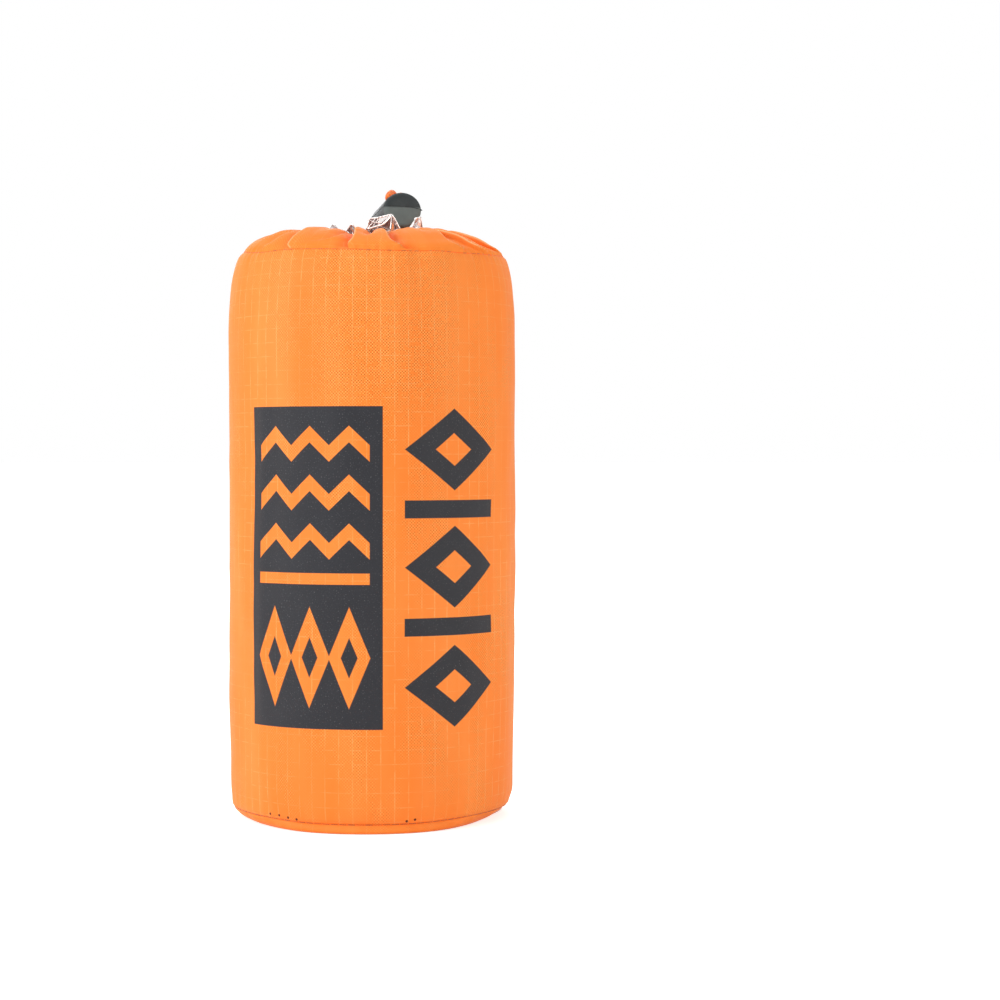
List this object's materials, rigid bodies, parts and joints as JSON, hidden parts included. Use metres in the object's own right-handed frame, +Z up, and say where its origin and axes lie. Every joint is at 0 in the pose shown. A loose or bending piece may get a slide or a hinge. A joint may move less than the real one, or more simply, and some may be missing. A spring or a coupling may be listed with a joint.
{
  "type": "packed emergency tent",
  "caption": "Emergency tent packed in a round ripstop drawstring sack, with a spring cord lock on the cord at its gathered mouth and the neck of a film bag showing",
  "frame": {"origin": "centre of the sack's flat base, on the surface that it stands on", "axes": "+Z up along the sack's axis to its gathered mouth, -Y out of its front, +X to the right seen from the front; the cord lock lies on the back of the mouth"},
  "size_m": [0.0804, 0.0876, 0.1793],
  "materials": {
    "ripstop": "satin",
    "sewing_thread": "matte",
    "braided_cord": "matte",
    "black_plastic": "satin",
    "spring_steel": "satin",
    "clear_film": "gloss",
    "tent_film": "satin"
  },
  "bodies": {
    "sack": {"sack_wall": "ripstop", "sack_base": "ripstop", "base_welt": "ripstop", "base_stitching": "sewing_thread", "hem_channel": "ripstop", "hem_stitching": "sewing_thread", "buttonhole_edge": "sewing_thread", "side_seam_allowance": "ripstop", "side_seam_thread": "sewing_thread", "drawcord": "braided_cord", "inner_bag": "clear_film", "tent_roll": "tent_film"},
    "lock": {"lock_barrel": "black_plastic", "lock_spring": "spring_steel", "drawcord_tail_left": "braided_cord", "drawcord_tail_right": "braided_cord", "tail_knot": "braided_cord"},
    "plunger": {"lock_plunger": "black_plastic"}
  },
  "joints": [
    {"name": "lock_slide", "type": "slide", "parent": "sack", "child": "lock", "axis": [-0.0315, 0.1177, 0.9925], "range_m": [0, 0.01]},
    {"name": "plunger_press", "type": "slide", "parent": "lock", "child": "plunger", "axis": [0.2569, -0.9587, 0.1219], "range_m": [0, 0.004], "stiffness_N_per_m": 1500, "springref_m": -0.003, "deforming": ["lock_spring"]}
  ]
}
